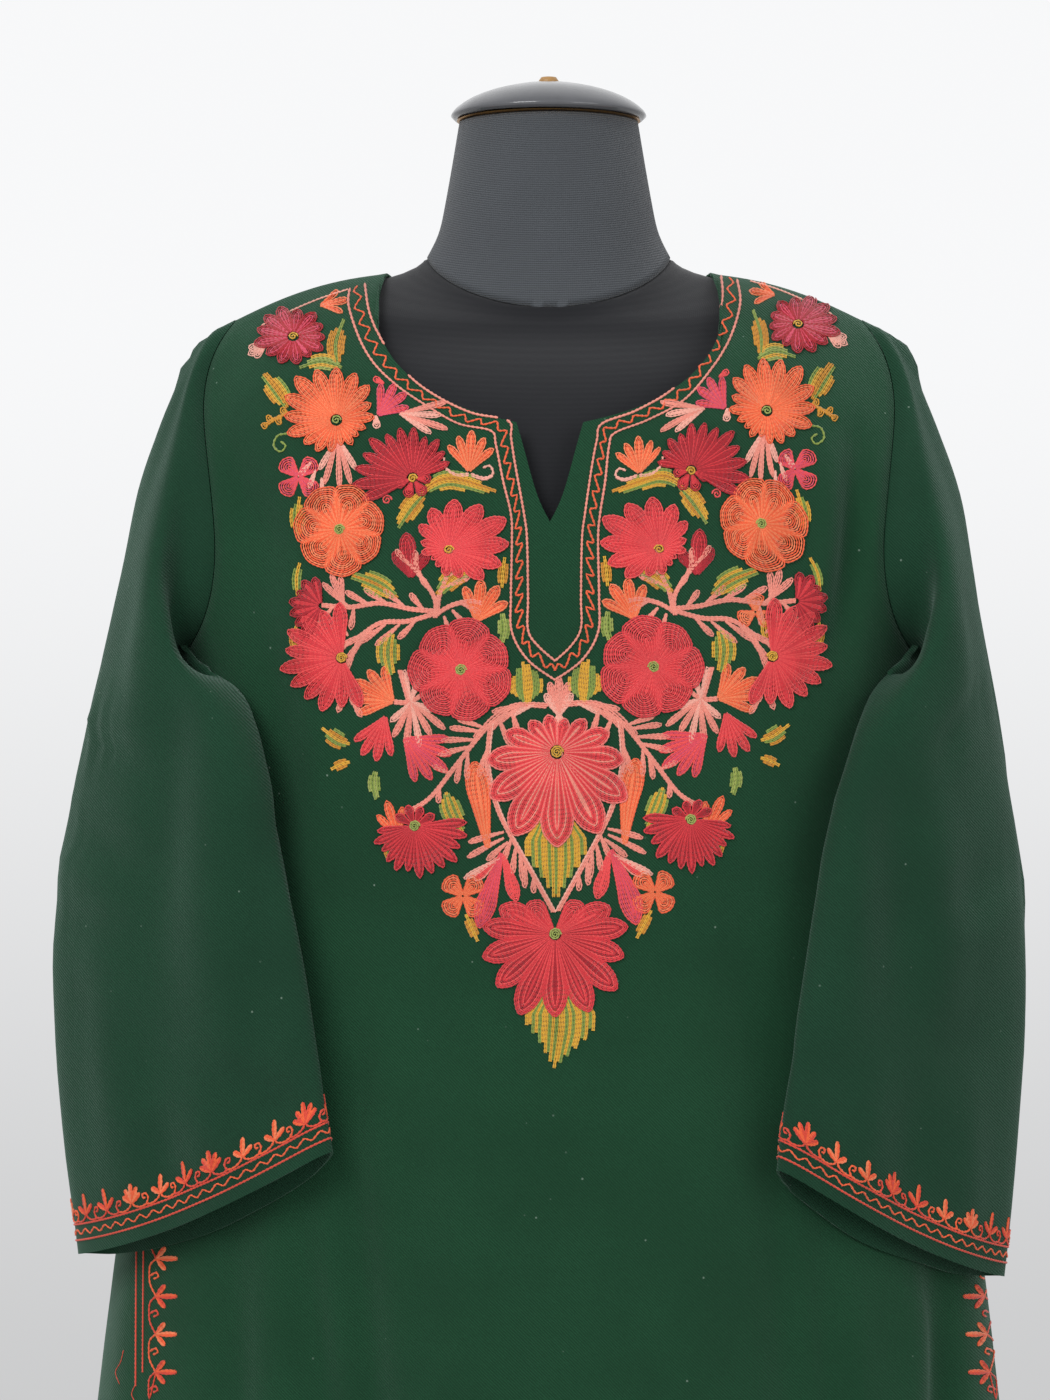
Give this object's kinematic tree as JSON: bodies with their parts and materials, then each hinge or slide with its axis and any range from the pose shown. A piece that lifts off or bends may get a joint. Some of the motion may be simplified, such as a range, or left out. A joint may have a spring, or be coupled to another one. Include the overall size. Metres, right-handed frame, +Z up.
{
  "type": "pheran on a dress form",
  "caption": "Loose wool tunic with a slit round neck and wide three-quarter sleeves, embroidered at the yoke, worn by a limbless dress form on a pole and round base.",
  "frame": {"origin": "middle of the flat underside of the stand's base, on the floor", "axes": "+Z up through the pole and the form, -Y is the way the garment's front faces, -X is the wearer's right"},
  "size_m": [0.6458, 0.354, 1.5407],
  "materials": {
    "wool_body": "dark green wool twill, soft, slightly napped",
    "wool_sleeve": "dark green wool twill, soft, slightly napped",
    "form_cover": "black stretch cover, matt",
    "form_neck_cover": "slate knitted cover, matt",
    "cap_ring": "satin",
    "neck_cap": "glossy grey",
    "cap_knob": "varnished",
    "stand": "satin black"
  },
  "bodies": {
    "root": {"front": "wool_body", "back": "wool_body", "right_sleeve": "wool_sleeve", "left_sleeve": "wool_sleeve", "form_torso": "form_cover", "form_neck": "form_neck_cover", "cap_ring": "cap_ring", "neck_cap": "neck_cap", "cap_knob": "cap_knob", "stand_pole": "stand", "stand_base": "stand"}
  },
  "joints": []
}
